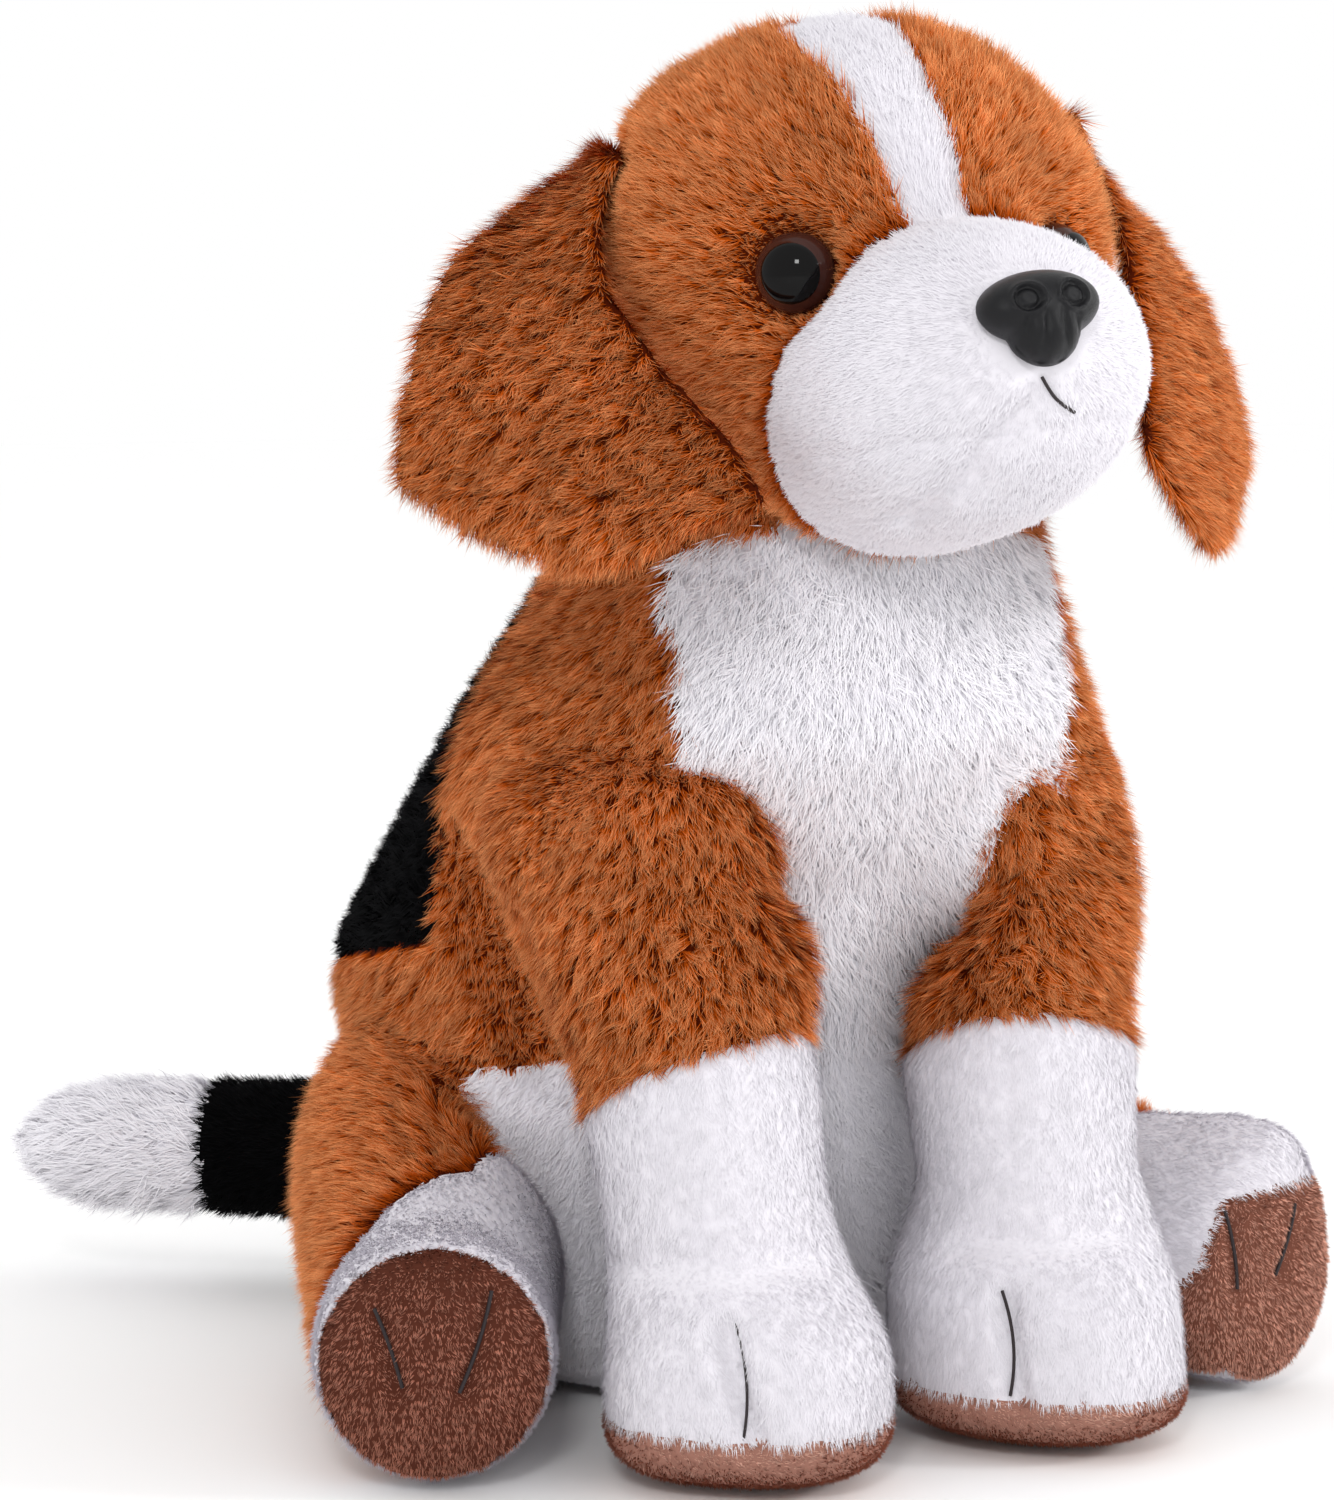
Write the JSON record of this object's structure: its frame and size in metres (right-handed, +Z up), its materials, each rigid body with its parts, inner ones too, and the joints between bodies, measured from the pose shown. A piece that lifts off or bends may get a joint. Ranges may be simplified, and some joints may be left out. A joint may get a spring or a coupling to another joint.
{
  "type": "plush dog",
  "caption": "Sitting stuffed toy dog with brown, white and black plush panels, floppy ears, a big white muzzle, stuffed legs with brown pads and a short tail.",
  "frame": {"origin": "on the floor under the middle of the seat", "axes": "+Z up, the dog faces -Y and its left side is +X"},
  "size_m": [0.2438, 0.3272, 0.2985],
  "materials": {
    "brown_plush": "plush pile",
    "white_plush": "plush pile",
    "black_plush": "short curly pile",
    "pad_plush": "short knitted pile",
    "stuffing": "loose fibre",
    "bag_cloth": "plain weave",
    "eye_plastic": "polished",
    "nose_plastic": "satin, grained",
    "washer_plastic": "satin",
    "thread": "sewn thread"
  },
  "bodies": {
    "torso": {"body_fill": "stuffing", "bean_bag": "bag_cloth", "back_saddle": "black_plush", "flank_left": "brown_plush", "flank_right": "brown_plush", "chest_panel": "white_plush", "seat_panel": "white_plush"},
    "neck": {"neck_plug": "stuffing"},
    "head": {"head_fill": "stuffing", "head_side_left": "brown_plush", "head_side_right": "brown_plush", "blaze": "white_plush", "muzzle": "white_plush", "chin": "white_plush", "eye_left": "eye_plastic", "eye_right": "eye_plastic", "eye_washer_left": "washer_plastic", "eye_washer_right": "washer_plastic", "nose": "nose_plastic", "nose_washer": "washer_plastic", "mouth_stitch": "thread"},
    "ear_left": {"ear_outer_left": "brown_plush", "ear_lining_left": "brown_plush", "ear_roll_left": "brown_plush"},
    "ear_right": {"ear_outer_right": "brown_plush", "ear_lining_right": "brown_plush", "ear_roll_right": "brown_plush"},
    "fore_leg_left": {"fore_fill_left": "stuffing", "sleeve_left": "brown_plush", "sock_left": "white_plush", "sole_left": "pad_plush", "paw_stitch_left": "thread"},
    "fore_leg_right": {"fore_fill_right": "stuffing", "sleeve_right": "brown_plush", "sock_right": "white_plush", "sole_right": "pad_plush", "paw_stitch_right": "thread"},
    "hind_leg_left": {"hind_fill_left": "stuffing", "thigh_left": "brown_plush", "foot_left": "white_plush", "pad_left": "pad_plush", "pad_stitch_left": "thread"},
    "hind_leg_right": {"hind_fill_right": "stuffing", "thigh_right": "brown_plush", "foot_right": "white_plush", "pad_right": "pad_plush", "pad_stitch_right": "thread"},
    "tail": {"tail_fill": "stuffing", "tail_band": "black_plush", "tail_tip": "white_plush"}
  },
  "joints": [
    {"name": "head_turn", "type": "hinge", "parent": "torso", "child": "neck", "pos_m": [0, -0.052, 0.184], "axis": [0, 0, 1], "range_deg": [-30, 30], "stiffness_Nm_per_rad": 2},
    {"name": "head_nod", "type": "hinge", "parent": "neck", "child": "head", "pos_m": [0, -0.052, 0.184], "axis": [1, 0, 0], "range_deg": [-12, 8], "stiffness_Nm_per_rad": 3},
    {"name": "ear_lift_left", "type": "hinge", "parent": "head", "child": "ear_left", "pos_m": [0.04519, -0.07202, 0.27399], "axis": [0.1766, -0.9842, -0.0115], "range_deg": [0, 95]},
    {"name": "ear_lift_right", "type": "hinge", "parent": "head", "child": "ear_right", "pos_m": [-0.0473, -0.0623, 0.26586], "axis": [0.3712, 0.9266, 0.0597], "range_deg": [0, 95]},
    {"name": "fore_swing_left", "type": "hinge", "parent": "torso", "child": "fore_leg_left", "pos_m": [0.041, -0.06, 0.126], "axis": [-1, 0, 0], "range_deg": [0, 45], "stiffness_Nm_per_rad": 0.5},
    {"name": "fore_swing_right", "type": "hinge", "parent": "torso", "child": "fore_leg_right", "pos_m": [-0.041, -0.06, 0.126], "axis": [-1, 0, 0], "range_deg": [0, 45], "stiffness_Nm_per_rad": 0.5},
    {"name": "hind_lift_left", "type": "hinge", "parent": "torso", "child": "hind_leg_left", "pos_m": [0.057, 0.008, 0.045], "axis": [-0.9135, -0.4067, 0], "range_deg": [0, 20], "stiffness_Nm_per_rad": 0.5},
    {"name": "hind_lift_right", "type": "hinge", "parent": "torso", "child": "hind_leg_right", "pos_m": [-0.057, 0.008, 0.045], "axis": [-0.9135, 0.4067, 0], "range_deg": [0, 20], "stiffness_Nm_per_rad": 0.5},
    {"name": "tail_wag", "type": "hinge", "parent": "torso", "child": "tail", "pos_m": [0, 0.07527, 0.034], "axis": [0, 0, 1], "range_deg": [-110, 0], "stiffness_Nm_per_rad": 0.05}
  ]
}
